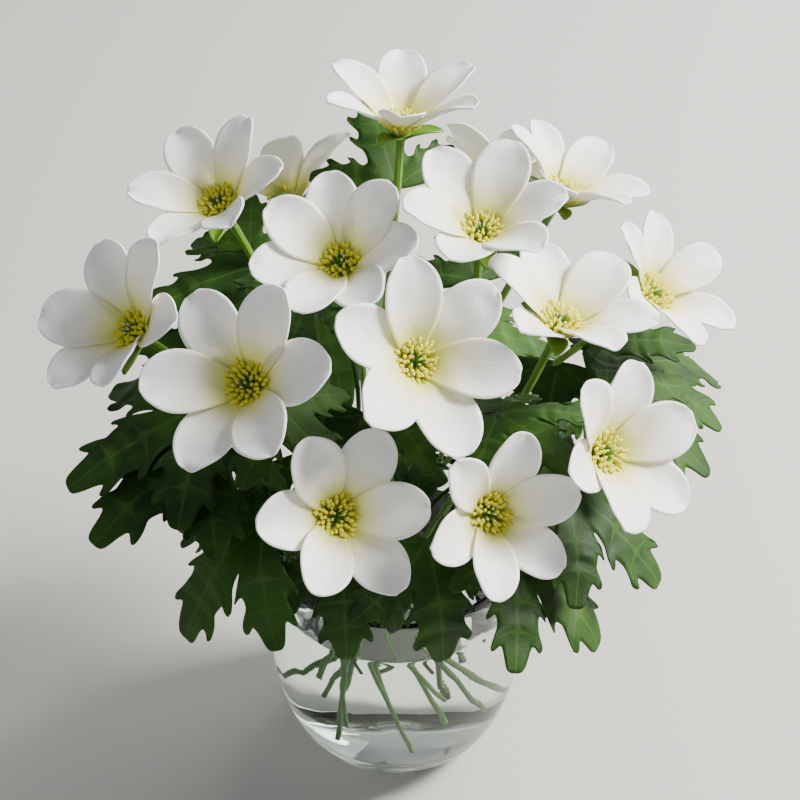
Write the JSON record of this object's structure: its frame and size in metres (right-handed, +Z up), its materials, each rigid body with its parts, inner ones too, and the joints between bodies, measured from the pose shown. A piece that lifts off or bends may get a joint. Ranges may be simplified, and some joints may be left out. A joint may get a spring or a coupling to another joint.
{
  "type": "posy of white hepatica-like flowers in a glass tumbler",
  "caption": "Domed posy of white, broad-petalled spring flowers with divided green leaves, standing in water in a small round clear glass tumbler.",
  "frame": {"origin": "centre of the tumbler's flat foot, on the surface that it stands on", "axes": "+Z up, the posy's front faces -Y, +X to the right seen from the front"},
  "size_m": [0.1356, 0.1265, 0.1425],
  "materials": {
    "petal": "matt white petal, warm cream towards its foot",
    "stamen": "yellow-green stamens round a dark green pistil",
    "stem": "fresh green stem and bracts, slightly waxy",
    "leaf": "dark green leaf with paler veins, slightly waxy",
    "glass": "clear glass, faintly green in its thick foot",
    "water": "clear still water"
  },
  "bodies": {
    "root": {"bloom_back_left_centre": "stamen", "bloom_back_left_petals": "petal", "bloom_back_left_stem": "stem", "bloom_back_right_centre": "stamen", "bloom_back_right_petals": "petal", "bloom_back_right_stem": "stem", "bloom_crown_centre": "stamen", "bloom_crown_petals": "petal", "bloom_crown_stem": "stem", "bloom_front_centre": "stamen", "bloom_front_petals": "petal", "bloom_front_stem": "stem", "bloom_left_back_centre": "stamen", "bloom_left_back_petals": "petal", "bloom_left_back_stem": "stem", "bloom_left_centre": "stamen", "bloom_left_crown_centre": "stamen", "bloom_left_crown_petals": "petal", "bloom_left_crown_stem": "stem", "bloom_left_front_centre": "stamen", "bloom_left_front_petals": "petal", "bloom_left_front_stem": "stem", "bloom_left_petals": "petal", "bloom_left_stem": "stem", "bloom_low_left_centre": "stamen", "bloom_low_left_petals": "petal", "bloom_low_left_stem": "stem", "bloom_low_right_centre": "stamen", "bloom_low_right_petals": "petal", "bloom_low_right_stem": "stem", "bloom_right_back_centre": "stamen", "bloom_right_back_petals": "petal", "bloom_right_back_stem": "stem", "bloom_right_centre": "stamen", "bloom_right_crown_centre": "stamen", "bloom_right_crown_petals": "petal", "bloom_right_crown_stem": "stem", "bloom_right_front_centre": "stamen", "bloom_right_front_petals": "petal", "bloom_right_front_stem": "stem", "bloom_right_petals": "petal", "bloom_right_stem": "stem", "bloom_top_centre": "stamen", "bloom_top_petals": "petal", "bloom_top_stem": "stem", "glass_tumbler": "glass", "leaf_back": "leaf", "leaf_back_left": "leaf", "leaf_front_left": "leaf", "leaf_front_right": "leaf", "leaf_inner_left": "leaf", "leaf_inner_right": "leaf", "leaf_left_high": "leaf", "leaf_left_low": "leaf", "leaf_left_mid": "leaf", "leaf_right_back": "leaf", "leaf_right_high": "leaf", "leaf_right_low": "leaf", "leaf_right_mid": "leaf", "water": "water"}
  },
  "joints": []
}
